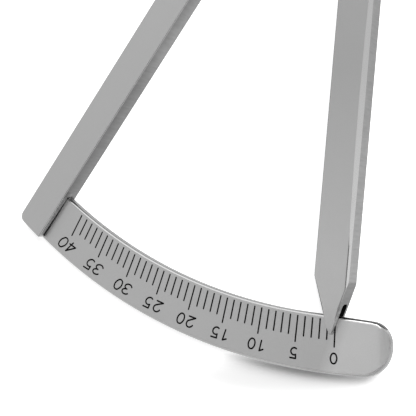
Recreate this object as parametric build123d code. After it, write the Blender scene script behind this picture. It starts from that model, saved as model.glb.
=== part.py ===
"""Surgical caliper with a curved scale, two arms on one pivot.

The arms meet at a half-lap pivot, each staying on its own side. Their fine points measure at one end.
At the other, a plate held in one arm carries the scale, and the forked end of the other arm points at it.

Frame: the origin is on the pivot axis in the plane of the tool's flat back, +Z is the front, the
points lie towards +Y and the scale towards -Y. Lengths are millimetres, angles degrees. An angle of
an arm or mark is counted from -Y towards +X.
"""
from build123d import *
import os
from math import asin, atan2, cos, degrees, radians, sin, sqrt, tan

os.makedirs("parts", exist_ok=True)

# Measuring law
tip_radius = 71.7
scale_length = 40
reading_at_rest = 0.385

# Arms
gap_angle_when_open = 0.85
arm_width = 5.45
arm_thickness = 3.3
edge_radius = 0.2
face_roll_width = 1.9
face_roll_drop = 0.05

# Filed chamfer of the pointer arm, with a long shallow bow that widens it part way along
chamfer_width = 0.42
chamfer_edge_radius = 0.45
chamfer_angle = 30
bow_width = 0.75
bow_start_radius = 22.0
bow_end_radius = 86.0

# Scale plate
plate_inner_radius = 85.4
plate_width = 8.55
plate_thickness = 1.5
plate_back_height = 0.6
plate_straight_angle = 15.3
plate_end_angle = 5.43
plate_inner_corner_radius = 3.1
plate_outer_corner_radius = 4.3
plate_front_edge_radius = 0.5
plate_back_edge_radius = 0.22
plate_roll_width = 1.9
plate_roll_drop = 0.36
plate_inset = 0.35

# Engraving
mark_margin = 0.6
minor_mark_length = 3.06
major_mark_length = 4.05
mark_width = 0.25
engraving_depth = 0.12
numeral_margin = 0.82
numeral_stroke = 0.26
numeral_pitch = 1.84
pitch_after_one = 1.5
marks_per_numeral = 5

# Hand of the engraver: towards the last reading the numerals grow and slant and the marks lean over
first_numeral_width = 1.0
last_numeral_width = 1.36
first_numeral_height = 1.48
last_numeral_height = 1.88
last_numeral_slant = 21
last_mark_lean = 4

# Arcs of the numerals
arcs_per_curve = 4
zero_start = 45
one_flag_drop = 0.3
two_crown_start = 165
two_crown_sweep = -205
three_upper_start = 155
three_lower_start = 90
three_sweep = -245
five_belly_start = 125
five_belly_sweep = -250

# Pointer end
pointer_reach = 2.75
pointer_inner_taper_length = 8.3
pointer_outer_taper_length = 7.75
pointer_inner_corner_radius = 5.0
pointer_outer_corner_radius = 3.5
pointer_tip_place = 3.08
pointer_tip_width = 0.22
pointer_bevel_length = 4.0
pointer_tip_thickness = 0.75
fork_clearance = 0.05
fork_root_gap = 1.75
fork_corner_radius = 0.5

# Seat of the plate in the fixed arm
seat_root_gap = 0.03
seat_gap_inner = 0.1
seat_gap_outer = 0.4
arm_end_radius = 1.7
arm_end_corner_radius = 0.5
arm_end_edge_radius = 0.4
pin_radius = 0.6
pin_bite = 0.75
pin_spacing = 4.6

# Joint
hub_radius = 6.5
hub_gap = 0.15
disc_thickness = 0.2
disc_inset = 0.7
post_radius = 2.0
post_head_radius = 3.4
post_head_height = 0.75
thread_step = 0.5
post_dome = 0.5
snug_gap = 0.01
running_gap = 0.03
shank_setback = 0.1
washer_radius = 4.9
washer_bore_gap = 0.12
washer_thickness = 0.45
cone_radius = 4.4
cone_thickness = 0.3
cone_rise = 0.35
nut_radius = 5.4
nut_collar_radius = 3.6
nut_collar_height = 0.7
nut_height = 3.8
nut_chamfer = 0.4
knurl_count = 40
knurl_depth = 0.3

# Legs
leg_relief = 0.7
leg_root_height = 3.25
leg_root_width = 4.4
leg_middle_height = 34.0
leg_middle_width = 3.1
point_length = 3.0
leg_end_width = 1.0
leg_end_thickness = 1.1
leg_end_radius = 0.24
tip_width = 0.5
tip_thickness = 0.7
tip_gap = 0.02
leg_edge_radius = 0.5
tip_edge_radius = 0.12

# Sizes that follow
arm_half_angle = (2 * degrees(asin(scale_length / 2 / tip_radius)) + gap_angle_when_open) / 2
plate_outer_radius = plate_inner_radius + plate_width
plate_front = plate_back_height + plate_thickness
pin_depth = plate_front + pin_bite
mark_start_radius = plate_inner_radius + mark_margin
pointer_radius = plate_inner_radius + pointer_reach
fork_root_radius = plate_inner_radius - fork_root_gap
disc_radius = hub_radius - disc_inset
thread_radius = post_radius - thread_step
lap_back = (arm_thickness - disc_thickness) / 2
lap_front = lap_back + disc_thickness
zero_angle = arm_half_angle + degrees(asin(pointer_tip_place / pointer_radius))
washer_top = arm_thickness + washer_thickness
cone_top = washer_top + cone_thickness + cone_rise
nut_top = cone_top + nut_height
pointer_tip_inner = pointer_tip_place - pointer_tip_width / 2
pointer_tip_outer = pointer_tip_place + pointer_tip_width / 2
inner_taper_start = pointer_radius - pointer_inner_taper_length
outer_taper_start = pointer_radius - pointer_outer_taper_length
inner_taper_angle = degrees(atan2(pointer_tip_inner, pointer_inner_taper_length))
outer_taper_angle = degrees(atan2(arm_width - pointer_tip_outer, pointer_outer_taper_length))
plate_end = zero_angle + plate_end_angle
overcut = 1.0


def turn_for(reading):
    """Angle between the arms that opens the points by a reading."""
    return 2 * degrees(asin(reading / 2 / tip_radius))


def along(angle):
    """Unit vector from the pivot along an arm or mark."""
    return Vector(sin(radians(angle)), -cos(radians(angle)), 0)


def outward(angle):
    """Unit vector across an arm, away from the middle line on the +X side."""
    return Vector(cos(radians(angle)), sin(radians(angle)), 0)


def section_plane(angle):
    """Plane across an arm: X runs outward, Y up, and its normal along the arm."""
    return Plane(origin=(0, 0, 0), x_dir=outward(angle), z_dir=along(angle))


def side_plane(angle):
    """Plane along an arm: X runs along it and Y up."""
    return Plane(origin=(0, 0, 0), x_dir=along(angle), z_dir=-outward(angle))


def plan_plane(angle):
    """Plane on the tool's back: X runs along the arm and Y outward."""
    return Plane(origin=(0, 0, 0), x_dir=along(angle), z_dir=(0, 0, 1))


def disc(radius, low, high):
    """Upright cylinder on the pivot axis."""
    return Pos(0, 0, low) * Cylinder(radius, high - low, align=(Align.CENTER, Align.CENTER, Align.MIN))


def side_cut(face):
    """Prism through the whole width of an arm, from an outline drawn along the arm and up."""
    return extrude(side_plane(arm_half_angle) * face, amount=2 * arm_width, both=True)


def rounding_cut(radius):
    """Outline of what a rounding takes from a square corner at the origin."""
    start = (-radius, 0)
    end = (0, -radius)
    outside = Polyline(end, (overcut, -radius), (overcut, overcut), (-radius, overcut), start)
    return make_face(TangentArc(start, end, tangent=(1, 0)) + outside)


def chamfer_cut():
    """Outline of what the chamfer and its rounded front border take from such a corner."""
    setback = chamfer_edge_radius * tan(radians(chamfer_angle / 2))
    start = (-chamfer_width - setback, 0)
    end = (setback * cos(radians(chamfer_angle)) - chamfer_width, -setback * sin(radians(chamfer_angle)))
    drop = chamfer_width * tan(radians(chamfer_angle))
    outside = Polyline(end, (0, -drop), (overcut, -drop), (overcut, overcut), (start[0], overcut), start)
    return make_face(TangentArc(start, end, tangent=(1, 0)) + outside)


def rolled_section():
    """Section of the fixed arm: the front rolls off a little towards the inner edge."""
    roll_start = (face_roll_width, arm_thickness)
    roll_end = (0, arm_thickness - face_roll_drop)
    outline = Polyline(roll_start, (arm_width, arm_thickness), (arm_width, 0), (0, 0), roll_end)
    face = make_face(outline + TangentArc(roll_start, roll_end, tangent=(-1, 0)))
    corners = face.vertices().filter_by(lambda v: v.X < edge_radius or v.X > face_roll_width + edge_radius)
    return fillet(corners, radius=edge_radius)


def chamfered_section():
    """Section of the pointer arm, whose outer front edge is chamfered."""
    rectangle = Pos(arm_width / 2, arm_thickness / 2) * Rectangle(arm_width, arm_thickness)
    corners = rectangle.vertices().filter_by(lambda v: v.X < edge_radius or v.Y < edge_radius)
    return fillet(corners, radius=edge_radius) - Pos(arm_width, arm_thickness) * chamfer_cut()


def chamfer_bow():
    """Shallow cut along the chamfer, deepest half way along."""
    depth = bow_width * sin(radians(chamfer_angle))
    start = (bow_start_radius, 0)
    end = (bow_end_radius, 0)
    middle = ((bow_start_radius + bow_end_radius) / 2, -depth)
    face = make_face(ThreePointArc(start, middle, end) + Line(end, start))
    across = Vector(0, 0, sin(radians(chamfer_angle))) - outward(arm_half_angle) * cos(radians(chamfer_angle))
    corner = outward(arm_half_angle) * arm_width + Vector(0, 0, arm_thickness)
    plane = Plane(origin=corner, x_dir=along(arm_half_angle), z_dir=across)
    return extrude(plane * face, amount=arm_thickness / 2, both=True)


def bar(section, plan):
    """Bar of one section whose outline from the front is the plan."""
    length = plate_outer_radius + overcut
    body = extrude(section_plane(arm_half_angle) * section, amount=length)
    outline = extrude(plan_plane(arm_half_angle) * plan, amount=arm_thickness + overcut)
    return body & outline


def fixed_plan():
    """Front outline of the fixed bar, ending on the plate's outer arc."""
    length = plate_outer_radius + overcut
    strip = Pos(length / 2, arm_width / 2) * Rectangle(length, arm_width)
    face = strip & Circle(plate_outer_radius)
    corners = face.vertices().filter_by(lambda v: v.X > length / 2).sort_by(Axis.Y)
    face = fillet(corners[-1], radius=arm_end_radius)
    corner = face.vertices().sort_by_distance((plate_outer_radius, 0))[0]
    return fillet(corner, radius=arm_end_corner_radius)


def pointer_plan():
    """Front outline of the pointer bar, filed to a point from both sides."""
    inner_corner = (inner_taper_start, 0)
    outer_corner = (outer_taper_start, arm_width)
    face = make_face(
        Polyline(
            (0, 0),
            inner_corner,
            (pointer_radius, pointer_tip_inner),
            (pointer_radius, pointer_tip_outer),
            outer_corner,
            (0, arm_width),
            close=True,
        )
    )
    face = fillet(face.vertices().sort_by_distance(inner_corner)[0], radius=pointer_inner_corner_radius)
    return fillet(face.vertices().sort_by_distance(outer_corner)[0], radius=pointer_outer_corner_radius)


def taper_cut(start, across, turn, profile):
    """Cut along a front edge of the taper, which starts at a corner of the bar and turns off its line."""
    corner = along(arm_half_angle) * start + outward(arm_half_angle) * across + Vector(0, 0, arm_thickness)
    plane = section_plane(arm_half_angle + turn)
    plane.origin = corner - plane.z_dir * overcut
    return extrude(plane * profile, amount=pointer_radius - start + 2 * overcut)


def bevel_cut():
    """Cut that rounds the front of the pointer a little down to its tip."""
    tip_top = plate_front + fork_clearance + pointer_tip_thickness
    start = (pointer_radius - pointer_bevel_length, arm_thickness)
    end = (pointer_radius, tip_top)
    limit = (pointer_radius + overcut, arm_thickness + overcut)
    outside = Polyline(end, (limit[0], tip_top), limit, (start[0], limit[1]), start)
    return side_cut(make_face(TangentArc(start, end, tangent=(1, 0)) + outside))


def fork_cut():
    """Slot that lets the pointer straddle the plate, with rounded corners at its root."""
    low = plate_back_height - fork_clearance
    high = plate_front + fork_clearance
    mouth = pointer_radius + overcut
    face = make_face(
        Polyline((fork_root_radius, low), (mouth, low), (mouth, high), (fork_root_radius, high), close=True)
    )
    corners = face.vertices().filter_by(lambda v: v.X < mouth - overcut)
    return side_cut(fillet(corners, radius=fork_corner_radius))


def leg():
    """Slender leg on the +X side with its measuring point at the tip."""
    middle_height = arm_thickness / 2
    point = tip_gap / 2
    stations = [
        (leg_root_height, leg_relief, leg_root_width, arm_thickness, leg_edge_radius),
        (leg_middle_height, leg_relief, leg_middle_width, arm_thickness, leg_edge_radius),
        (tip_radius - point_length, point, leg_end_width, leg_end_thickness, leg_end_radius),
        (tip_radius, point, tip_width, tip_thickness, tip_edge_radius),
    ]
    sections = []
    for height, inner, width, thickness, radius in stations:
        plane = Plane(origin=(inner + width / 2, height, middle_height), x_dir=(1, 0, 0), z_dir=(0, 1, 0))
        sections.append(plane * RectangleRounded(width, thickness, radius))
    return loft(sections, ruled=True)


def fixed_arm():
    """Arm that carries the scale plate, made on the +X side and mirrored."""
    end_rounding = Plane.XZ * Pos(plate_outer_radius, arm_thickness) * rounding_cut(arm_end_edge_radius)
    body = bar(rolled_section(), fixed_plan()) - revolve(end_rounding, axis=Axis.Z) + leg()
    body -= disc(hub_radius + hub_gap, lap_back, arm_thickness + overcut)
    body += disc(hub_radius, 0, lap_back)
    body -= disc(post_radius + snug_gap, -overcut, lap_back + overcut)
    body -= disc(post_head_radius + snug_gap, -overcut, post_head_height)
    root = plate_inner_radius - seat_root_gap
    mouth = plate_outer_radius + overcut
    seat = Polyline(
        (root, plate_back_height),
        (mouth, plate_back_height),
        (mouth, plate_front + seat_gap_outer),
        (root, plate_front + seat_gap_inner),
        close=True,
    )
    body -= revolve(Plane.XZ * make_face(seat), axis=Axis.Z)
    body = body.mirror(Plane.YZ)
    return body - [place * pin_blank(pin_radius + snug_gap, pin_depth) for place in pin_places()]


def pin_places():
    """Both dowels, on the fixed bar's middle line."""
    middle = (plate_inner_radius + plate_outer_radius) / 2
    places = []
    for side in (-1, 1):
        distance = middle + side * pin_spacing / 2
        spot = along(-arm_half_angle) * distance - outward(-arm_half_angle) * (arm_width / 2)
        places.append(Pos(spot.X, spot.Y, 0))
    return places


def pin_blank(radius, length):
    """Round blank of a dowel or its hole, from the tool's back."""
    return Cylinder(radius, length, align=(Align.CENTER, Align.CENTER, Align.MIN))


def scale_pins():
    """Two dowels that hold the plate in the fixed arm."""
    return Compound(children=[place * pin_blank(pin_radius, pin_depth - snug_gap) for place in pin_places()])


def pointer_arm():
    """Arm with the forked pointer, in the stored pose."""
    rounding = rounding_cut(edge_radius)
    body = bar(chamfered_section(), pointer_plan()) - chamfer_bow()
    body -= taper_cut(outer_taper_start, arm_width, -outer_taper_angle, rounding)
    body -= taper_cut(inner_taper_start, 0, inner_taper_angle, mirror(rounding, about=Plane.YZ))
    body = body - bevel_cut() - fork_cut() + leg()
    body -= disc(hub_radius + hub_gap, -overcut, lap_front)
    body += disc(hub_radius, lap_front, arm_thickness)
    body -= disc(post_radius + running_gap, -overcut, arm_thickness + overcut)
    return Rot(0, 0, -turn_for(reading_at_rest)) * body


def grown(first, last, reading):
    """A size that changes evenly from the first reading to the last."""
    return first + (last - first) * reading / scale_length


def slanted(point, slant):
    """A point of a numeral, pushed over by its slant."""
    return (point[0] + point[1] * tan(radians(slant)), point[1])


def straight(start, end, slant):
    """Straight stroke of a numeral, with round ends."""
    line = Line(slanted(start, slant), slanted(end, slant))
    middle = line @ 0.5
    turn = Rot(0, 0, line.tangent_angle_at(0))
    return Pos(middle.X, middle.Y) * turn * SlotCenterToCenter(line.length, numeral_stroke)


def on_oval(middle, half_width, half_height, angle):
    """Point of an oval."""
    return (middle[0] + half_width * cos(radians(angle)), middle[1] + half_height * sin(radians(angle)))


def oval_line(middle, half_width, half_height, start, sweep, slant):
    """Middle line of a stroke along part of a slanted oval, as a chain of arcs."""
    points = []
    for index in range(2 * arcs_per_curve + 1):
        turn = start + sweep * index / (2 * arcs_per_curve)
        points.append(slanted(on_oval(middle, half_width, half_height, turn), slant))
    return Wire([ThreePointArc(*points[index : index + 3]) for index in range(0, 2 * arcs_per_curve, 2)])


def curved(middle, half_width, half_height, start, sweep, slant):
    """Stroke of a numeral along part of an oval, with round ends."""
    return SlotArc(oval_line(middle, half_width, half_height, start, sweep, slant), numeral_stroke)


def ring_stroke(half_width, half_height, slant):
    """Closed stroke of the zero."""
    line = oval_line((0, 0), half_width, half_height, zero_start, 360, slant)
    return make_face(line.offset_2d(numeral_stroke / 2)) - make_face(line.offset_2d(-numeral_stroke / 2))


def numeral(symbol, width, height, slant):
    """One numeral as strokes about its own middle, upright along Y before its slant."""
    half = width / 2
    top = height / 2
    bowl = top / 2
    if symbol == "0":
        return ring_stroke(half, top, slant)
    if symbol == "1":
        flag = (-half, top - one_flag_drop)
        return straight((0, -top), (0, top), slant) + straight((0, top), flag, slant)
    if symbol == "2":
        middle = (0, top - half)
        neck = on_oval(middle, half, half, two_crown_start + two_crown_sweep)
        foot = (-half, -top)
        strokes = curved(middle, half, half, two_crown_start, two_crown_sweep, slant)
        return strokes + straight(neck, foot, slant) + straight(foot, (half, -top), slant)
    if symbol == "3":
        upper = curved((0, bowl), half, bowl, three_upper_start, three_sweep, slant)
        return upper + curved((0, -bowl), half, bowl, three_lower_start, three_sweep, slant)
    if symbol == "4":
        stem = half / 2
        elbow = (-half, -bowl)
        strokes = straight((stem, -top), (stem, top), slant) + straight((stem, top), elbow, slant)
        return strokes + straight(elbow, (half, -bowl), slant)
    middle = (0, half - top)
    corner = (-bowl, top)
    strokes = curved(middle, half, half, five_belly_start, five_belly_sweep, slant)
    strokes += straight(on_oval(middle, half, half, five_belly_start), corner, slant)
    return strokes + straight(corner, (half, top), slant)


def number(value):
    """A whole number, centred and upright along Y before its slant."""
    width = grown(first_numeral_width, last_numeral_width, value)
    height = grown(first_numeral_height, last_numeral_height, value)
    slant = grown(0, last_numeral_slant, value)
    symbols = str(value)
    pitch = pitch_after_one if symbols[0] == "1" else numeral_pitch
    strokes = Sketch()
    for index, symbol in enumerate(symbols):
        middle = pitch * (index - (len(symbols) - 1) / 2)
        strokes += Pos(middle, 0) * numeral(symbol, width, height, slant)
    return strokes


def on_scale(angle, radius):
    """Place on the scale, X across the mark and Y outward along it."""
    spot = along(angle) * radius
    return Pos(spot.X, spot.Y, 0) * Rot(0, 0, 180 + angle)


def engraving():
    """Every mark and number, as closed outlines on the tool's back plane."""
    shapes = []
    for reading in range(scale_length + 1):
        angle = zero_angle - turn_for(reading)
        numbered = reading % marks_per_numeral == 0
        length = major_mark_length if numbered else minor_mark_length
        lean = Rot(0, 0, grown(0, last_mark_lean, reading))
        place = on_scale(angle, mark_start_radius + length / 2) * lean
        shapes.append(place * Rot(0, 0, 90) * SlotOverall(length, mark_width))
        if numbered:
            height = grown(first_numeral_height, last_numeral_height, reading)
            shapes.append(place * Pos(0, (length + height) / 2 + numeral_margin) * number(reading))
    return shapes


def scale_plan():
    """Front outline of the plate: a ring from inside the fixed arm to the rounded end.

    The inner edge runs straight over the last stretch, so the free end is a little narrower.
    """
    side = outward(-arm_half_angle) * (plate_inset - arm_width)
    far = 2 * plate_outer_radius
    wedge = make_face(
        Polyline(
            (0, 0),
            along(plate_end) * far,
            along(0) * far,
            side + along(-arm_half_angle) * far,
            side,
            close=True,
        )
    )
    touch = along(plate_straight_angle) * plate_inner_radius
    straight_run = make_face(Polyline((0, 0), touch, touch + outward(plate_straight_angle) * far, close=True))
    face = (Circle(plate_outer_radius) - Circle(plate_inner_radius) - straight_run) & wedge
    face = fillet(face.vertices().sort_by(Axis.X)[-1], radius=plate_outer_corner_radius)
    inner_end = along(plate_end) * plate_inner_radius
    return fillet(face.vertices().sort_by_distance(inner_end)[0], radius=plate_inner_corner_radius)


def end_roll():
    """Cut that rolls the plate's front down towards its free end."""
    start = (-plate_roll_width, plate_front)
    end = (0, plate_front - plate_roll_drop)
    limit = plate_front + overcut
    outside = Polyline(end, (overcut, end[1]), (overcut, limit), (start[0], limit), start)
    face = make_face(TangentArc(start, end, tangent=(1, 0)) + outside)
    plane = section_plane(plate_end).offset(plate_inner_radius - overcut)
    return extrude(plane * face, amount=plate_width + 2 * overcut)


def scale_arc():
    """Curved plate with its marks and numbers engraved in the front."""
    plate = extrude(Pos(0, 0, plate_back_height) * scale_plan(), amount=plate_thickness)
    rim = plate.edges().filter_by(lambda edge: edge.geom_type == GeomType.CIRCLE or edge.center().X > 0)
    heights = rim.filter_by(Axis.Z, reverse=True).group_by(Axis.Z)
    plate = fillet(heights[-1], radius=plate_front_edge_radius)
    back = plate.edges().group_by(Axis.Z)[0]
    back = back.filter_by(lambda edge: edge.geom_type == GeomType.CIRCLE or edge.center().X > 0)
    plate = fillet(back, radius=plate_back_edge_radius) - end_roll()
    plate -= [place * pin_blank(pin_radius + snug_gap, pin_depth) for place in pin_places()]
    floor = Pos(0, 0, plate_front - engraving_depth)
    return plate - [extrude(floor * shape, amount=overcut) for shape in engraving()]


def pivot_post():
    """Headed post held in the fixed arm, with a domed end above the nut."""
    shank = disc(post_radius, 0, arm_thickness - shank_setback)
    thread = disc(thread_radius, 0, nut_top + post_dome)
    rim = thread.edges().group_by(Axis.Z)[-1]
    return disc(post_head_radius, 0, post_head_height) + shank + fillet(rim, radius=post_dome)


def ring(outer, inner, low, high):
    """Flat ring about the pivot axis."""
    return disc(outer, low, high) - disc(inner, low - overcut, high + overcut)


def joint_disc():
    """Thin friction disc between the two half-laps."""
    return ring(disc_radius, post_radius + washer_bore_gap, lap_back, lap_front)


def flat_washer():
    """Flat washer on the pointer arm's front."""
    return ring(washer_radius, thread_radius + washer_bore_gap, arm_thickness, washer_top)


def spring_washer():
    """Cone spring between the flat washer and the nut."""
    bore = thread_radius + washer_bore_gap
    section = make_face(
        Polyline(
            (bore, washer_top + cone_rise),
            (cone_radius, washer_top),
            (cone_radius, washer_top + cone_thickness),
            (bore, cone_top),
            close=True,
        )
    )
    return revolve(Plane.XZ * section, axis=Axis.Z)


def lock_nut():
    """Round nut with a collar and a straight knurl."""
    collar = disc(nut_collar_radius, cone_top, cone_top + nut_collar_height)
    body = disc(nut_radius, cone_top + nut_collar_height, nut_top)
    body = chamfer(body.edges().filter_by(GeomType.CIRCLE), length=nut_chamfer)
    side = knurl_depth * sqrt(2)
    square = Box(side, side, nut_height, align=(Align.CENTER, Align.CENTER, Align.MIN))
    groove = Pos(nut_radius, 0, cone_top) * Rot(0, 0, 45) * square
    body -= [Rot(0, 0, step * 360 / knurl_count) * groove for step in range(knurl_count)]
    return collar + body - disc(thread_radius + running_gap, 0, nut_top + overcut)


SUBPARTS = {
    "fixed_arm": fixed_arm,
    "pointer_arm": pointer_arm,
    "scale_arc": scale_arc,
    "scale_pins": scale_pins,
    "pivot_post": pivot_post,
    "joint_disc": joint_disc,
    "flat_washer": flat_washer,
    "spring_washer": spring_washer,
    "lock_nut": lock_nut,
}

for node, make in SUBPARTS.items():
    shape = make()
    export_step(shape, f"parts/{node}.step")
    print(node, round(shape.volume, 2))
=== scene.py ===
# %% [markdown]
# # A surgical caliper in satin steel
#
# Two slim bars meet at a pivot. One holds a curved plate with a scale from 0 to 40, the other ends in a
# small fork whose point reads the scale. The shapes could be modelled again by hand in Blender, but the
# part's own solids are exact and already stand in one frame. So they are loaded as they are, and this
# lesson is about the finish of plain steel, the dark engraving, and the calm light of a product photograph.

# %% Load the part
from math import radians

import bmesh
import bpy
from mathutils import Euler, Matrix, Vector


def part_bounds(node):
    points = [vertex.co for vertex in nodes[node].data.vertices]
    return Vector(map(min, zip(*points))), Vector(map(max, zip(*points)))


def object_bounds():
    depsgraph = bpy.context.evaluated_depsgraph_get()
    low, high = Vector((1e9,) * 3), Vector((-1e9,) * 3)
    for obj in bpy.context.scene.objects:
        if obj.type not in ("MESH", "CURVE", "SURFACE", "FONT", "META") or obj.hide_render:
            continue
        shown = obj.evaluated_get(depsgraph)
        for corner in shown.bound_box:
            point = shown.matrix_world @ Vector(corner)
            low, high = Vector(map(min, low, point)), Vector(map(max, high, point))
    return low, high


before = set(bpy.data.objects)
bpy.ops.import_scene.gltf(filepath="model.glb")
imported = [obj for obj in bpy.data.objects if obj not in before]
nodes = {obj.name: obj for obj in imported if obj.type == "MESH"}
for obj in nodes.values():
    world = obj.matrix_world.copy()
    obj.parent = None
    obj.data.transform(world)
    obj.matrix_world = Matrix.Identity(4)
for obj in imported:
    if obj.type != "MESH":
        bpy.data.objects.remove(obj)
part_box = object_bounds()
print("nodes:", sorted(nodes))
print("box of the part:", part_box)

# %% [markdown]
# ## The camera
#
# The photograph was taken from close by, fifteen centimetres over the scale, from the pointer's side and a
# little from the pivot's end. A camera could be aimed by hand at a target, but the marks of the scale are a
# ruler: their places in the picture fix where the lens stood. The place and the three turns below come from
# that, in the part's own frame. Blender counts in metres, so what is given in millimetres is multiplied by
# MM.

# %% Camera
MM = 0.001
CAMERA_PLACE = Vector((85.61, -50.04, 151.87)) * MM
CAMERA_TURNS = (3.098, 30.141, 22.057)
SENSOR_WIDTH = 36.0
LENS = 97.13
NEAREST = 5 * MM
FARTHEST = 10.0


def in_mm(place):
    """A place in millimetres, rounded for printing."""
    return tuple(round(value / MM, 1) for value in place)


camera = bpy.data.objects.new("camera", bpy.data.cameras.new("camera"))
camera.data.sensor_width = SENSOR_WIDTH
camera.data.lens = LENS
camera.data.clip_start = NEAREST
camera.data.clip_end = FARTHEST
camera.location = CAMERA_PLACE
camera.rotation_euler = Euler([radians(turn) for turn in CAMERA_TURNS])
bpy.context.scene.collection.objects.link(camera)
bpy.context.scene.camera = camera
print("camera at", in_mm(camera.location), "mm")

# %% [markdown]
# ## Small helpers for node trees
#
# A material is a chain of small steps. They could be placed by hand in Blender's node editor, but a script
# can be read and repeated. Writing each step as one call keeps the chain readable: `step` adds a node, sets
# its plain values and joins its inputs to other sockets.

# %% Node helpers


def fill(tree, socket, value):
    """Joins a socket to another one, or sets its value."""
    if isinstance(value, bpy.types.NodeSocket):
        tree.links.new(value, socket)
    else:
        socket.default_value = value


def step(tree, kind, inputs=None, **values):
    """Adds a node, sets its properties, and fills its inputs."""
    node = tree.nodes.new(kind)
    for name, value in values.items():
        setattr(node, name, value)
    for name, value in (inputs or {}).items():
        fill(tree, node.inputs[name], value)
    return node


print("helpers ready for Blender", bpy.app.version_string)

# %% [markdown]
# ## Sums and blends
#
# Most steps are sums on values, sums on arrows, or a blend of two things. Each could be written out as a
# node in full, but the same lines would come back dozens of times. So the common ones get a short name. A
# Mix node has its sockets once for values and once for colours under the same names, so it picks them by
# number.

# %% Sums and blends
ZERO_ARROW = (0.0, 0.0, 0.0)
MIX_FACTOR = 0
FIRST_VALUE, SECOND_VALUE, MIXED_VALUE = 2, 3, 0
FIRST_COLOUR, SECOND_COLOUR, MIXED_COLOUR = 6, 7, 2
MIDDLE = 0.5


def calc(tree, operation, first, second=0.0):
    """One sum on two values or sockets."""
    return step(tree, "ShaderNodeMath", {0: first, 1: second}, operation=operation).outputs[0]


def vector_calc(tree, operation, first, second=ZERO_ARROW):
    """One sum on two arrows, which puts out an arrow."""
    return step(tree, "ShaderNodeVectorMath", {0: first, 1: second}, operation=operation).outputs[0]


def vector_value(tree, operation, first, second=ZERO_ARROW):
    """One sum on two arrows, which puts out a plain value."""
    return step(tree, "ShaderNodeVectorMath", {0: first, 1: second}, operation=operation).outputs["Value"]


def ranged(tree, value, start, end, low=0.0, high=1.0):
    """Turns a value between start and end into one between low and high."""
    inputs = {"Value": value, "From Min": start, "From Max": end, "To Min": low, "To Max": high}
    return step(tree, "ShaderNodeMapRange", inputs).outputs[0]


def blend_values(tree, factor, first, second):
    """Mixes two values by a factor."""
    inputs = {MIX_FACTOR: factor, FIRST_VALUE: first, SECOND_VALUE: second}
    return step(tree, "ShaderNodeMix", inputs, data_type="FLOAT").outputs[MIXED_VALUE]


def blend_colours(tree, factor, first, second):
    """Mixes two colours by a factor."""
    inputs = {MIX_FACTOR: factor, FIRST_COLOUR: first, SECOND_COLOUR: second}
    return step(tree, "ShaderNodeMix", inputs, data_type="RGBA").outputs[MIXED_COLOUR]


def grey(level):
    """A neutral colour."""
    return (level, level, level, 1.0)


print("a middle grey is", grey(MIDDLE))

# %% [markdown]
# ## Groups
#
# Several steels share the same grain and the same wear. The nodes could be copied from one material to the
# next, but then each copy would have to be mended on its own. An effect is a node group instead: built once,
# with named inputs and outputs, and placed in each material with its own values. A group only puts out
# colours, masks, values and normals. The shader itself stays in the material.

# %% Group helpers
VALUE = "NodeSocketFloat"
ARROW = "NodeSocketVector"
COLOUR = "NodeSocketColor"


def new_group(name, inputs, outputs, build):
    """Makes a shader group with named inputs and outputs, and lets a function fill it."""
    group = bpy.data.node_groups.new(name, "ShaderNodeTree")
    for label, kind, value in inputs:
        socket = group.interface.new_socket(name=label, in_out="INPUT", socket_type=kind)
        socket.default_value = value
    for label, kind in outputs:
        group.interface.new_socket(name=label, in_out="OUTPUT", socket_type=kind)
    given = step(group, "NodeGroupInput").outputs
    results = build(group, given)
    exit_node = step(group, "NodeGroupOutput")
    for label, socket in results.items():
        group.links.new(socket, exit_node.inputs[label])
    print("group", name, "puts out", ", ".join(results))
    return group


def place_group(tree, group, values=None):
    """Puts a group in a tree with its own values, and returns its outputs."""
    node = step(tree, "ShaderNodeGroup", node_tree=group)
    for name, value in (values or {}).items():
        fill(tree, node.inputs[name], value)
    return node.outputs


print("groups take", ", ".join((VALUE, ARROW, COLOUR)))

# %% [markdown]
# ## Materials
#
# Every piece of the tool is one kind of metal all over. A material could be given face by face, but the
# surface itself will say where it changes, so each piece gets a single one.

# %% Material helpers


def new_material(name):
    """An empty material with its output node."""
    material = bpy.data.materials.new(name)
    material.use_nodes = True
    material.node_tree.nodes.clear()
    output = material.node_tree.nodes.new("ShaderNodeOutputMaterial")
    return material, material.node_tree, output


def dress(node_name, material):
    """Gives a node of the part its material."""
    mesh = nodes[node_name].data
    mesh.materials.clear()
    mesh.materials.append(material)
    print("dressed", node_name, "in", material.name)


print("to be dressed:", len(nodes), "nodes")

# %% [markdown]
# ## Satin grain
#
# Fine steel tools are blasted or brushed to a satin that doesn't glare. Seen close, the face is a field of
# soft specks a tenth of a millimetre wide, with slower clouds of slightly different gloss. A picture of
# steel could be laid over it, but it would blur at this scale. So the grain is noise in the part's own
# coordinates. Its stretch turns round specks into short scratches along one direction.

# %% Satin grain group
NO_STRETCH = (1.0, 1.0, 1.0)
SPECK = 7000.0
SPECK_NOISE = {"Detail": 3.0, "Roughness": 0.6}
CLOUD_NOISE = {"Scale": 260.0, "Detail": 2.0, "Roughness": 0.5}


def build_grain(tree, given):
    """Fine specks, stretched on request, and slow clouds."""
    place = step(tree, "ShaderNodeTexCoord").outputs["Object"]
    stretched = vector_calc(tree, "MULTIPLY", place, given["Stretch"])
    speck_inputs = {"Vector": stretched, "Scale": given["Speck Scale"], **SPECK_NOISE}
    speck = step(tree, "ShaderNodeTexNoise", speck_inputs)
    cloud = step(tree, "ShaderNodeTexNoise", {"Vector": place, **CLOUD_NOISE})
    return {"Speck": speck.outputs["Fac"], "Cloud": cloud.outputs["Fac"]}


grain_group = new_group(
    "satin_grain",
    [("Stretch", ARROW, NO_STRETCH), ("Speck Scale", VALUE, SPECK)],
    [("Speck", VALUE), ("Cloud", VALUE)],
    build_grain,
)

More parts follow.
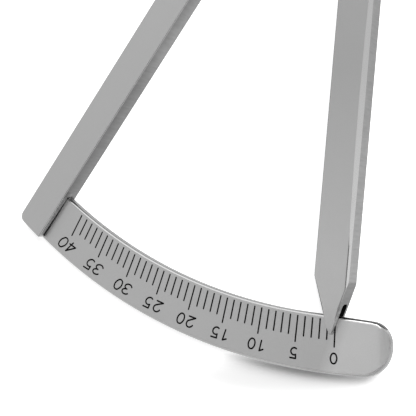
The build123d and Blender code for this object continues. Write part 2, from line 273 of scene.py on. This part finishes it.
# %% [markdown]
# ## Where on the tool
#
# Finish and painted light and shade follow the shape: fronts, sides, the chamfer, the end that hangs over
# the plate. Faces could be picked by hand and given materials of their own. Here the surface says by itself
# where it is: its height, its distance from the pivot, how far it faces up, how flat it lies, and how far it
# faces away from the pivot. All of it is measured in the piece's own frame, so the finish and the painted
# light and shade stay in place when the joint turns.

# %% Place group
LEVEL_PART = (1.0, 1.0, 0.0)
TO_OWN_FRAME = {"vector_type": "NORMAL", "convert_from": "WORLD", "convert_to": "OBJECT"}


def build_place(tree, given):
    """Measures of a spot on the surface, in the part's own frame."""
    place = step(tree, "ShaderNodeTexCoord").outputs["Object"]
    parts = step(tree, "ShaderNodeSeparateXYZ", {0: place}).outputs
    from_pivot = vector_calc(tree, "MULTIPLY", place, LEVEL_PART)
    facing = step(tree, "ShaderNodeNewGeometry").outputs["True Normal"]
    normal = step(tree, "ShaderNodeVectorTransform", {0: facing}, **TO_OWN_FRAME).outputs[0]
    upward = step(tree, "ShaderNodeSeparateXYZ", {0: normal}).outputs["Z"]
    away = vector_calc(tree, "NORMALIZE", from_pivot)
    return {
        "Across": parts["X"],
        "Height": parts["Z"],
        "Distance": vector_value(tree, "LENGTH", from_pivot),
        "Upward": upward,
        "Flatness": calc(tree, "ABSOLUTE", upward),
        "Outward": vector_value(tree, "DOT_PRODUCT", away, normal),
    }


place_labels = ("Across", "Height", "Distance", "Upward", "Flatness", "Outward")
place_on_tool = new_group("place_on_tool", [], [(label, VALUE) for label in place_labels], build_place)

# %% [markdown]
# ## Tint and shade
#
# No steel is one even grey. The grain makes it a little darker and lighter, and painted light and shade
# change it from one end to the other. Both could be painted on by hand, but a painted layer has to be made
# again whenever the part changes. Two small groups do it instead. One lets the grain vary a tone. The other
# brings in a gain between two values of anything that was measured, so no shade has a hard border.

# %% Tint and shade groups


def build_tint(tree, given):
    """A grey that the grain varies by a share of itself."""
    low = calc(tree, "SUBTRACT", 1.0, given["Contrast"])
    high = calc(tree, "ADD", 1.0, given["Contrast"])
    share = ranged(tree, given["Grain"], 0.0, 1.0, low, high)
    return {"Colour": calc(tree, "MULTIPLY", given["Tone"], share)}


def build_shade(tree, given):
    """A colour times a gain that comes in between two values."""
    gain = ranged(tree, given["Value"], given["Start"], given["End"], 1.0, given["Gain"])
    return {"Colour": vector_calc(tree, "MULTIPLY", given["Colour"], gain)}


tint_inputs = [(label, VALUE, MIDDLE) for label in ("Grain", "Tone", "Contrast")]
tint_group = new_group("grain_tint", tint_inputs, [("Colour", COLOUR)], build_tint)

shade_inputs = [("Colour", COLOUR, grey(MIDDLE))]
shade_inputs += [(label, VALUE, 1.0) for label in ("Value", "Start", "End", "Gain")]
shade_group = new_group("shade_by_value", shade_inputs, [("Colour", COLOUR)], build_shade)

# %% [markdown]
# ## Satin steel
#
# The bars, the plate and the fasteners are one family of metal. What differs is tone, gloss and how the
# grain runs. The fronts are blasted and nearly even. The sides were ground across, which leaves coarse
# short lines from front to back, and they are darker. A chamfer is filed and glossier than the rest, and
# where its tone is set lighter, that is a painted highlight. The inner walls that hang over the plate have
# a tone of their own, painted lighter for the light that the plate throws on them. Each zone could have its
# own material, but in one group they blend by how flat the surface lies.

# %% Zones of the steel
SIDE_FLATNESS = (0.5, 0.2)
FILED_FLATNESS = (0.95, 0.91)
OVERHANG_HEIGHT = 1.5 * MM
OVERHANG_SPAN = (84.6 * MM, 85.8 * MM)


def steel_zones(tree):
    """How far a spot belongs to a side, to a filed edge, and to a wall over the plate."""
    spot = place_group(tree, place_on_tool)
    side = ranged(tree, spot["Flatness"], *SIDE_FLATNESS)
    filed = ranged(tree, spot["Flatness"], *FILED_FLATNESS)
    raised = calc(tree, "GREATER_THAN", spot["Height"], OVERHANG_HEIGHT)
    over_plate = calc(tree, "MULTIPLY", raised, ranged(tree, spot["Distance"], *OVERHANG_SPAN))
    return side, filed, over_plate


print("filed edges blend in between the flatness of", FILED_FLATNESS)

# %% [markdown]
# ### One surface from its zones
#
# A polisher works zone by zone, and so does this group. Each zone takes its own tone, gloss and grain, and
# the zones are laid over each other. The same grain also presses a very shallow relief into the surface.
# It could be real geometry, but specks this small would cost millions of faces.

# %% Satin steel group
SIDE_SPECK = 2600.0
SIDE_STRETCH = (1.0, 1.0, 0.1)
SPECK_CONTRAST = 0.07
SIDE_CONTRAST = 0.24
FILED_GLOSS = 0.12
CLOUD_SPAN = (0.3, 0.7)
CLOUD_DRIFT = 0.03
GRAIN_RELIEF = {"Strength": 0.25, "Distance": 0.01 * MM}


def build_steel(tree, given):
    """Fronts, sides, filed edges and overhanging walls, each with its own tone and gloss."""
    front_grain = place_group(tree, grain_group)
    side_grain = place_group(tree, grain_group, {"Stretch": SIDE_STRETCH, "Speck Scale": SIDE_SPECK})
    side, filed, over_plate = steel_zones(tree)

    front_gloss = ranged(tree, filed, 0.0, 1.0, given["Gloss"], FILED_GLOSS)
    gloss = ranged(tree, side, 0.0, 1.0, front_gloss, given["Side Gloss"])
    drift = ranged(tree, front_grain["Cloud"], *CLOUD_SPAN, -CLOUD_DRIFT, CLOUD_DRIFT)

    def tint(grain, tone, contrast):
        """One of the given tones, varied by a grain."""
        values = {"Grain": grain["Speck"], "Tone": given[tone], "Contrast": contrast}
        return place_group(tree, tint_group, values)["Colour"]

    plain_front = tint(front_grain, "Tone", SPECK_CONTRAST)
    # A lighter filed tone is a painted highlight, and the tone of the walls over the plate is painted light.
    filed_highlight = tint(front_grain, "Filed Highlight Tone", SPECK_CONTRAST)
    plain_side = tint(side_grain, "Side Tone", SIDE_CONTRAST)
    lit_wall_side = tint(side_grain, "Lit Wall Tone", SIDE_CONTRAST)
    front_colour = blend_colours(tree, filed, plain_front, filed_highlight)
    side_colour = blend_colours(tree, over_plate, plain_side, lit_wall_side)
    relief = blend_values(tree, side, front_grain["Speck"], side_grain["Speck"])
    return {
        "Colour": blend_colours(tree, side, front_colour, side_colour),
        "Roughness": calc(tree, "ADD", gloss, drift),
        "Normal": step(tree, "ShaderNodeBump", {"Height": relief, **GRAIN_RELIEF}).outputs[0],
    }


steel_inputs = ("Tone", "Gloss", "Side Tone", "Side Gloss", "Lit Wall Tone", "Filed Highlight Tone")
steel_group = new_group(
    "satin_steel",
    [(label, VALUE, MIDDLE) for label in steel_inputs],
    [("Colour", COLOUR), ("Roughness", VALUE), ("Normal", ARROW)],
    build_steel,
)

# %% [markdown]
# ## Dark slots
#
# Two narrow slots stay black: the fork of the pointer and the seam over the plate's seat. Light hardly
# gets in there, so their inner faces are painted black as shade. They could be picked by hand, but the
# faces of a solid are numbered anew whenever it changes. A mask finds them by height, reach and facing.

# %% Slot group
INNER_FACING = 0.5


def build_slot(tree, given):
    """White on inner faces between two heights that lie further from the pivot than a reach."""
    spot = place_group(tree, place_on_tool)
    facing = calc(tree, "MAXIMUM", spot["Outward"], spot["Flatness"])
    above = calc(tree, "GREATER_THAN", spot["Height"], given["Low"])
    below = calc(tree, "LESS_THAN", spot["Height"], given["High"])
    beyond = calc(tree, "GREATER_THAN", spot["Distance"], given["Reach"])
    within = calc(tree, "MULTIPLY", calc(tree, "MULTIPLY", above, below), beyond)
    return {"Mask": calc(tree, "MULTIPLY", within, calc(tree, "GREATER_THAN", facing, INNER_FACING))}


slot_inputs = [(label, VALUE, 0.0) for label in ("Low", "High", "Reach")]
slot_shade_group = new_group("slot_shade_mask", slot_inputs, [("Mask", VALUE)], build_slot)

# %% [markdown]
# ## Dark coat
#
# The fill of the engraving is no metal, and neither is the painted shade in the slots: both are dark and
# mirror next to nothing. They could be a thin mesh laid over the steel, but that could flicker against the
# metal below. So the coat is a part of the material. Where its mask is white it takes away the metal as
# well as the tone, and so it stays dull.

# %% Coat group


def build_coat(tree, given):
    """A dark dull coat over the masked places of a metal."""
    return {
        "Colour": blend_colours(tree, given["Mask"], given["Colour"], given["Tone"]),
        "Metallic": calc(tree, "SUBTRACT", 1.0, given["Mask"]),
    }


coat_inputs = [("Colour", COLOUR, grey(MIDDLE)), ("Mask", VALUE, 0.0), ("Tone", VALUE, 0.0)]
coat_group = new_group("dark_coat", coat_inputs, [("Colour", COLOUR), ("Metallic", VALUE)], build_coat)

# %% [markdown]
# ## One steel, several materials
#
# The arms, the plate and the joint are cut from like metal and finished apart. A material could be copied
# and changed by hand for each. A small class does the same in a few calls: make the steel with its own
# tones, paint light and shade on it along the tool and where it turns from the light, and coat its slots
# with painted shade.

# %% Steel
# The near-black of the painted shade inside the slots.
SLOT_SHADE_TONE = 0.004


class Steel:
    """A satin steel material that can be shaded and coated."""

    def __init__(self, name, look):
        self.material, self.tree, output = new_material(name)
        surface = place_group(self.tree, steel_group, look)
        self.spot = place_group(self.tree, place_on_tool)
        self.colour = surface["Colour"]
        inputs = {
            "Base Color": self.colour,
            "Metallic": 1.0,
            "Roughness": surface["Roughness"],
            "Specular IOR Level": 0.0,
            "Normal": surface["Normal"],
        }
        self.shader = step(self.tree, "ShaderNodeBsdfPrincipled", inputs)
        self.tree.links.new(self.shader.outputs[0], output.inputs[0])

    def calc(self, operation, first, second=0.0):
        """One sum in the tree of this steel."""
        return calc(self.tree, operation, first, second)

    def recolour(self, colour):
        """Gives the shader a new colour socket."""
        self.colour = colour
        self.tree.links.new(colour, self.shader.inputs["Base Color"])

    def shade(self, value, start, end, gain):
        """Brings in a gain on the colour between two values."""
        values = {"Colour": self.colour, "Value": value, "Start": start, "End": end, "Gain": gain}
        self.recolour(place_group(self.tree, shade_group, values)["Colour"])

    def coat(self, mask, tone):
        """Lays the dark coat over masked places."""
        values = {"Colour": self.colour, "Mask": mask, "Tone": tone}
        coated = place_group(self.tree, coat_group, values)
        self.recolour(coated["Colour"])
        self.tree.links.new(coated["Metallic"], self.shader.inputs["Metallic"])

    def paint_slot_shade(self, slot):
        """Paints shade on the inner faces of a slot with the dark coat."""
        self.coat(place_group(self.tree, slot_shade_group, slot)["Mask"], SLOT_SHADE_TONE)


def plain_look(tone, gloss):
    """One tone and one gloss for every zone of a steel."""
    return {label: gloss if "Gloss" in label else tone for label in steel_inputs}


print("a steel is set by", ", ".join(steel_inputs))

# %% [markdown]
# ## The fixed arm
#
# This bar holds the plate in a slot at its end. Its front is even, its sides are ground and darker, and the
# lowest strip of a side catches the white floor. A lamp from below could light that strip, but it would
# reach the rest of the tool as well. So that reflection is painted on as a gain between two heights, which
# lights nothing else. The wall over the seat is painted lighter. Towards the plate the side darkens, and the
# seam over the plate is painted black as shade with the dark coat. Each shade below is written as its
# start, its end, and the gain that it reaches there.

# %% Fixed arm
FIXED_LOOK = {
    "Tone": 0.405,
    "Gloss": 0.36,
    "Side Tone": 0.185,
    "Side Gloss": 0.42,
    # Painted light: the wall over the seat is lighter than the side.
    "Lit Wall Tone": 0.66,
    "Filed Highlight Tone": 0.405,
}
# Painted reflection of the white floor on the lowest strip of a side.
LOW_SIDE = (3.1 * MM, 0.4 * MM, 1.5)
FAR_SIDE = (56 * MM, 64 * MM, 0.82)
SIDE_LIMIT = 0.5
SEAT_SLOT = {"Low": 0.5 * MM, "High": 2.6 * MM, "Reach": 85.3 * MM}

fixed_steel = Steel("arm_steel", FIXED_LOOK)
fixed_steel.shade(fixed_steel.spot["Height"], *LOW_SIDE)
on_side = fixed_steel.calc("LESS_THAN", fixed_steel.spot["Flatness"], SIDE_LIMIT)
fixed_steel.shade(fixed_steel.calc("MULTIPLY", fixed_steel.spot["Distance"], on_side), *FAR_SIDE)
fixed_steel.paint_slot_shade(SEAT_SLOT)
dress("fixed_arm", fixed_steel.material)

# %% [markdown]
# ## The pointer arm
#
# This bar is brighter towards its tip. The side of the taper turns away from the lamp and is painted darker.
# A filed chamfer with a painted highlight runs down the bar, and a soft dark line parts it from the front
# and another from the side. The lines could be cut as grooves, but on the real bar they are only edges
# between faces. So they are painted shade at the slopes between the faces. The wall over the plate at the
# tip is painted lighter. Each border is written as its slope, then the start, the end and the gain of its
# shade.

# %% Pointer arm
POINTER_LOOK = {
    "Tone": 0.352,
    "Gloss": 0.36,
    "Side Tone": 0.23,
    "Side Gloss": 0.42,
    # Painted light: the wall at the tip over the plate is lighter.
    "Lit Wall Tone": 0.98,
    # Painted highlight: the filed chamfer is lighter than the front.
    "Filed Highlight Tone": 0.47,
}
# Brighter towards the tip.
TIPWARD_GAIN = (50 * MM, 78 * MM, 1.3)
# Painted shade on the side of the taper, which faces away from the lamp.
TAPER_SIDE_SHADE = (0.15, 0.25, 0.66)
# Painted shade: dark lines at the borders of the chamfer.
FRONT_EDGE_SHADE = (0.94, 0.045, 0.03, 0.45)
SIDE_EDGE_SHADE = (0.68, 0.16, 0.1, 0.62)
FORK_SLOT = {"Low": 0.5 * MM, "High": 2.2 * MM, "Reach": 83.6 * MM}

pointer_steel = Steel("pointer_steel", POINTER_LOOK)
pointer_steel.shade(pointer_steel.spot["Distance"], *TIPWARD_GAIN)
pointer_steel.shade(pointer_steel.spot["Outward"], *TAPER_SIDE_SHADE)
for slope, start, end, gain in (FRONT_EDGE_SHADE, SIDE_EDGE_SHADE):
    off_border = pointer_steel.calc("SUBTRACT", pointer_steel.spot["Upward"], slope)
    pointer_steel.shade(pointer_steel.calc("ABSOLUTE", off_border), start, end, gain)
pointer_steel.paint_slot_shade(FORK_SLOT)
dress("pointer_arm", pointer_steel.material)

# %% [markdown]
# ## The joint
#
# The small turned pieces of the joint are alike on every side, so each takes a plain look: one tone, one
# gloss. They could share a single material. The knurled nut is the one that fingers turn all day, so it
# gets its own and is a little lighter and smoother than the post, the disc and the washers.

# %% Joint pieces
FASTENER_TONE = 0.41
FASTENER_GLOSS = 0.3
NUT_TONE = 0.42
NUT_GLOSS = 0.26

fastener_steel = Steel("fastener_steel", plain_look(FASTENER_TONE, FASTENER_GLOSS))
for name in ("scale_pins", "pivot_post", "joint_disc", "flat_washer", "spring_washer"):
    dress(name, fastener_steel.material)
dress("lock_nut", Steel("nut_steel", plain_look(NUT_TONE, NUT_GLOSS)).material)

# %% [markdown]
# ## The engraving
#
# The marks and numbers are real grooves in the plate, a tenth of a millimetre deep and filled dark. The
# fill could be a second mesh, but the groove already says where it goes: a floor that looks straight up
# at the groove's depth, and walls that stand upright between it and the face. A mask finds both.

# %% Engraving mask
ENGRAVING_DEPTH = 0.12 * MM
FACE_MARGIN = 0.02 * MM
LEVEL = 0.999
UPRIGHT = 0.2

plate_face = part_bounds("scale_arc")[1].z


def groove_mask(tree, spot):
    """White on the floors and walls of the grooves, black elsewhere on the plate."""
    depth = calc(tree, "SUBTRACT", plate_face, spot["Height"])
    shallow = calc(tree, "LESS_THAN", depth, ENGRAVING_DEPTH + FACE_MARGIN)
    below_face = calc(tree, "MULTIPLY", shallow, calc(tree, "GREATER_THAN", depth, FACE_MARGIN))
    deep = calc(tree, "GREATER_THAN", depth, ENGRAVING_DEPTH - FACE_MARGIN)
    at_floor = calc(tree, "MULTIPLY", shallow, deep)
    floors = calc(tree, "MULTIPLY", at_floor, calc(tree, "GREATER_THAN", spot["Upward"], LEVEL))
    upright = calc(tree, "LESS_THAN", spot["Flatness"], UPRIGHT)
    return calc(tree, "MAXIMUM", floors, calc(tree, "MULTIPLY", below_face, upright))


print("face of the plate at", round(plate_face / MM, 2), "mm")

# %% [markdown]
# ## The scale plate
#
# The plate is a slim curved bar with a flat face and narrow rims. Past the zero mark it is bare and a
# little lighter, while its rims and its inner wall turn away from the light there. Vertex colours could
# hold such shades, but they would need a fine mesh. Here each is a gain on how far across the tool a spot
# lies. A mask keeps it to its face: off the mask the place across is zero, where no shade has begun.

# %% Scale plate
FILL_TONE = 0.006
PLATE_TONE = 0.41
PLATE_GLOSS = 0.34
FREE_END = (27.5 * MM, 30 * MM, 1.27)
BARE_START = 26.5 * MM
# Painted shade: on the marked part of the plate the inner rim and wall are darker, dimming their highlight.
INNER_EDGE = (-0.15, -0.35, 0.66)
INNER_WALL = -0.6
# Painted shade: past the pointer the inner wall is nearly black.
DARK_WALL = (27 * MM, 29 * MM, 0.1)
RIM_FLATNESS = 0.93
# Painted shade on the inner and the outer rim towards the free end.
INNER_RIM = (34 * MM, 36 * MM, 0.5)
OUTER_RIM = (22 * MM, 33 * MM, 0.62)

plate_steel = Steel("scale_steel", plain_look(PLATE_TONE, PLATE_GLOSS))
plate_spot = plate_steel.spot
plate_steel.shade(plate_spot["Across"], *FREE_END)
bare = plate_steel.calc("GREATER_THAN", plate_spot["Across"], BARE_START)
plate_steel.shade(plate_steel.calc("ADD", plate_spot["Outward"], bare), *INNER_EDGE)

inner_wall = plate_steel.calc("LESS_THAN", plate_spot["Outward"], INNER_WALL)
rim = plate_steel.calc("LESS_THAN", plate_spot["Flatness"], RIM_FLATNESS)
outer = plate_steel.calc("GREATER_THAN", plate_spot["Outward"], 0.0)
outer_rim = plate_steel.calc("MULTIPLY", rim, outer)
inner_rim = plate_steel.calc("SUBTRACT", rim, outer_rim)
for mask, shade in ((inner_wall, DARK_WALL), (inner_rim, INNER_RIM), (outer_rim, OUTER_RIM)):
    plate_steel.shade(plate_steel.calc("MULTIPLY", plate_spot["Across"], mask), *shade)
plate_steel.coat(groove_mask(plate_steel.tree, plate_spot), FILL_TONE)
dress("scale_arc", plate_steel.material)

# %% [markdown]
# ## The floor's glow
#
# The photograph is a catalogue picture: the ground is pure white, and only a faint soft shadow shows below
# the free end of the plate. A plain floor would come out grey in part. More light on it would also fall on
# the tool, so the floor gets a glow of its own that only the camera sees, and a little of it shows in the
# metal. The glow is held back in a slanted oval where the shadow stays, and there it also paints a faint
# shadow round the lamp's own. From there it grows with the third power of the distance, so the shadow has
# no hard edge. Between the bars it is full again.

# %% Floor glow
FULL_GLOW = 0.75
MIRRORED_GLOW = 0.3
# Painted shadow: where the glow is held back, the floor is a little grey even where the lamp reaches it.
DIM_SPOT = (20.3 * MM, -94.2 * MM, 0.0)
DIM_SIZE = (13.1 * MM, 2.35 * MM, 1.0)
DIM_TURN = (0.0, 0.0, radians(22.3))
FULL_REACH = 1.6
GLOW_POWER = 3.0
WINDOW_RADIUS = 84.0 * MM
WINDOW_EDGE = 3.0 * MM


def floor_glow(tree):
    """The glow that the camera sees, held back in the oval, and the mirrored one."""
    path = step(tree, "ShaderNodeLightPath").outputs
    place = step(tree, "ShaderNodeTexCoord").outputs["Object"]
    oval = {"Vector": place, "Location": DIM_SPOT, "Rotation": DIM_TURN, "Scale": DIM_SIZE}
    in_oval = step(tree, "ShaderNodeMapping", oval, vector_type="TEXTURE").outputs[0]
    away = vector_value(tree, "LENGTH", in_oval)
    share = calc(tree, "POWER", ranged(tree, away, 0.0, FULL_REACH), GLOW_POWER)
    outside = calc(tree, "MULTIPLY", share, FULL_GLOW)
    from_pivot = vector_value(tree, "LENGTH", place)
    between = ranged(tree, from_pivot, WINDOW_RADIUS, WINDOW_RADIUS + WINDOW_EDGE, FULL_GLOW, 0.0)
    seen = calc(tree, "MULTIPLY", path["Is Camera Ray"], calc(tree, "MAXIMUM", outside, between))
    mirrored = calc(tree, "MAXIMUM", path["Is Glossy Ray"], path["Is Transmission Ray"])
    return calc(tree, "ADD", seen, calc(tree, "MULTIPLY", mirrored, MIRRORED_GLOW))


print("glow held back at", in_mm(DIM_SPOT), "mm")

# %% [markdown]
# ## The floor
#
# The tool lies on a white sheet. A sweep that curves up behind it could hide the horizon, but the camera
# looks down and sees no horizon, so one large flat sheet is enough. It lies a hair below the part, so that
# the two never share a face.

# %% Floor
FLOOR_SIZE = 3.0
FLOOR_DROP = 0.02 * MM
FLOOR_TONE = 0.8
FLOOR_ROUGHNESS = 0.9


def make_floor():
    """A large white sheet under the tool."""
    half = FLOOR_SIZE / 2
    corners = [(-half, -half, 0), (half, -half, 0), (half, half, 0), (-half, half, 0)]
    mesh = bpy.data.meshes.new("floor")
    mesh.from_pydata(corners, [], [(0, 1, 2, 3)])
    floor = bpy.data.objects.new("floor", mesh)
    floor.location.z = part_box[0][2] - FLOOR_DROP
    bpy.context.scene.collection.objects.link(floor)
    material, tree, output = new_material("floor_white")
    inputs = {
        "Base Color": grey(FLOOR_TONE),
        "Roughness": FLOOR_ROUGHNESS,
        "Specular IOR Level": 0.0,
        "Emission Color": grey(1.0),
        "Emission Strength": floor_glow(tree),
    }
    shader = step(tree, "ShaderNodeBsdfPrincipled", inputs)
    tree.links.new(shader.outputs[0], output.inputs[0])
    mesh.materials.append(material)
    return floor


floor = make_floor()
print("floor at", round(floor.location.z / MM, 3), "mm")

# %% [markdown]
# ## The air around
#
# Polished metal looks the way its surroundings do. A picture of a studio could be wrapped around the tool,
# but its windows and stands would show in the steel. A plain level shows nothing of its own. The air is
# white where the camera or a reflection looks, and a softer level as light, so the fronts keep their grey.

# %% Surroundings
AIR_LEVEL = 0.25


def make_air():
    """White where the camera or a reflection looks, and a softer level as light."""
    world = bpy.data.worlds.new("studio_air")
    bpy.context.scene.world = world
    world.use_nodes = True
    tree = world.node_tree
    tree.nodes.clear()
    path = step(tree, "ShaderNodeLightPath").outputs
    mirrored = calc(tree, "MAXIMUM", path["Is Glossy Ray"], path["Is Transmission Ray"])
    seen = calc(tree, "MAXIMUM", path["Is Camera Ray"], mirrored)
    strength = ranged(tree, seen, 0.0, 1.0, AIR_LEVEL, 1.0)
    air = step(tree, "ShaderNodeBackground", {"Color": grey(1.0), "Strength": strength})
    output = step(tree, "ShaderNodeOutputWorld")
    tree.links.new(air.outputs[0], output.inputs[0])
    return world


print("surroundings:", make_air().name)

# %% [markdown]
# ## Lamps
#
# A large soft lamp over the pivot's end, on the pointer's side, gives the plain level and the faint shadow
# below the plate. A small lamp would do it too, but with hard shadows. The large one would also show as a
# white spot in every rounded edge, so reflections don't see it. The second lamp is there for one thing:
# the narrow chamfer along the pointer bar mirrors it as a bright line. It stands low on the other side,
# and only reflections see it.

# %% Lamps
VIEW_CENTRE = Vector((0.0, -75.0, 2.0)) * MM
LAMP_DISTANCE = 1.0
KEY_LAMP = {"direction": (0.5, 0.9, 0.95), "size": 0.6, "power": 14.8}
RIM_LAMP = {"direction": (-0.5, 0.74, 0.42), "size": 0.9, "power": 4.5}


def soft_lamp(name, direction, size, power):
    """A square area lamp that looks at the scale from a direction."""
    data = bpy.data.lights.new(name, "AREA")
    data.shape = "SQUARE"
    data.size = size
    data.energy = power
    lamp = bpy.data.objects.new(name, data)
    heading = Vector(direction).normalized()
    lamp.location = VIEW_CENTRE + heading * LAMP_DISTANCE
    lamp.rotation_euler = heading.to_track_quat("Z", "Y").to_euler()
    bpy.context.scene.collection.objects.link(lamp)
    print(name, "at", in_mm(lamp.location), "mm")
    return lamp


soft_lamp("key_lamp", **KEY_LAMP).visible_glossy = False
soft_lamp("rim_lamp", **RIM_LAMP).visible_diffuse = False

# %% [markdown]
# ## Cards
#
# A studio hangs dark cards where metal would only mirror white. They could be left to the air around, but
# that is white on all sides. So a card is a round sheet with a grey face. Only reflections see it: it casts
# no shadow and shows in no picture.

# %% Cards
CARD_SIDES = 48
CARD_ROUGHNESS = 1.0


def grey_card(name, radius, place, heading, tone):
    """A round card which only reflections see."""
    mesh = bpy.data.meshes.new(name)
    shape = bmesh.new()
    bmesh.ops.create_circle(shape, cap_ends=True, segments=CARD_SIDES, radius=radius)
    shape.to_mesh(mesh)
    shape.free()
    card = bpy.data.objects.new(name, mesh)
    card.location = place
    card.rotation_euler = heading.to_track_quat("Z", "Y").to_euler()
    material, tree, output = new_material(name + "_face")
    inputs = {"Base Color": grey(tone), "Roughness": CARD_ROUGHNESS}
    shader = step(tree, "ShaderNodeBsdfPrincipled", inputs)
    tree.links.new(shader.outputs[0], output.inputs[0])
    mesh.materials.append(material)
    card.visible_camera = False
    card.visible_diffuse = False
    card.visible_shadow = False
    bpy.context.scene.collection.objects.link(card)
    print(name, "at", in_mm(card.location), "mm")


print("a card has", CARD_SIDES, "sides")

# %% [markdown]
# ### The lens card
#
# A real lens is dark and shows in steel that faces it. A Blender camera has no body, and its mirror image
# would be white air. A small dark disc behind it stands for the lens.

# %% Lens card
LENS_CARD_RADIUS = 25 * MM
LENS_CARD_GAP = 20 * MM
LENS_CARD_TONE = 0.02

lens_heading = camera.rotation_euler.to_matrix() @ Vector((0, 0, 1))
lens_place = CAMERA_PLACE + lens_heading * LENS_CARD_GAP
grey_card("lens_card", LENS_CARD_RADIUS, lens_place, lens_heading, LENS_CARD_TONE)

# %% [markdown]
# ### The end card
#
# The face of the plate falls off over its last millimetres, and the photograph shows it a little darker
# there. A darker tone in the material would show from every side. A large grey card over the free end
# makes it a matter of what the slope mirrors, as in the studio.

# %% End card
END_CARD_RADIUS = 0.2
END_CARD_HEADING = Vector((0.2, -0.35, 0.9)).normalized()
END_CARD_DISTANCE = 0.5
END_CARD_TONE = 0.55

end_place = VIEW_CENTRE + END_CARD_HEADING * END_CARD_DISTANCE
grey_card("end_card", END_CARD_RADIUS, end_place, END_CARD_HEADING, END_CARD_TONE)

# %% [markdown]
# ## Finish
#
# The picture's colours are shown as they are, with the plain Standard view. A filmic view could soften
# them, but then a grey would no longer come out as it was written.

# %% Finish
bpy.context.scene.view_settings.view_transform = "Standard"
